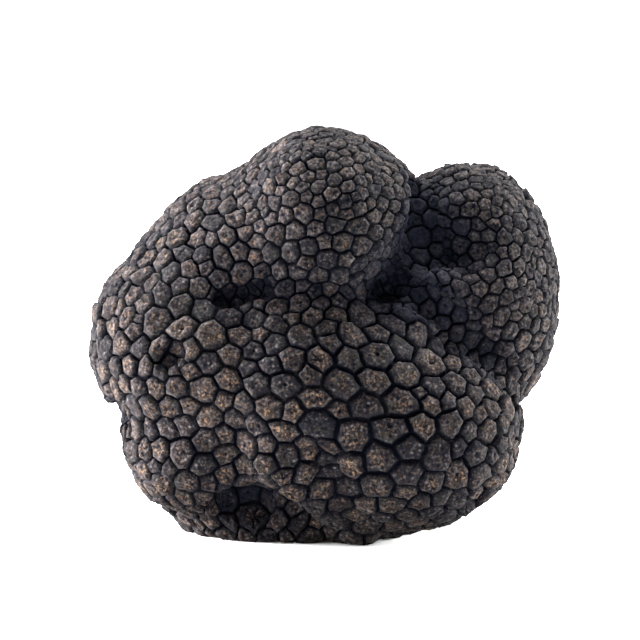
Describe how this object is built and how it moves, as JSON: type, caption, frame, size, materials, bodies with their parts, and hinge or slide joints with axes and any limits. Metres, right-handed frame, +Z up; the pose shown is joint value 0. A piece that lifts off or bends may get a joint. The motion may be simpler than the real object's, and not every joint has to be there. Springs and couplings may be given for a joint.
{
  "type": "black truffle",
  "caption": "Whole black truffle: a rounded, lobed lump whose dark skin is broken into many-sided warts with sunken grooves between them, resting on a small flat spot.",
  "frame": {"origin": "under the middle of the truffle, level with the flat spot that it rests on", "axes": "+Z up, -Y towards its bulging front, +X along its width towards the tall side lobe"},
  "size_m": [0.0726, 0.0578, 0.0629],
  "materials": {
    "skin": "dry, rough, near-black warted skin with grey-brown wart tops and a few rust-brown flecks"
  },
  "bodies": {
    "root": {"truffle": "skin"}
  },
  "joints": []
}
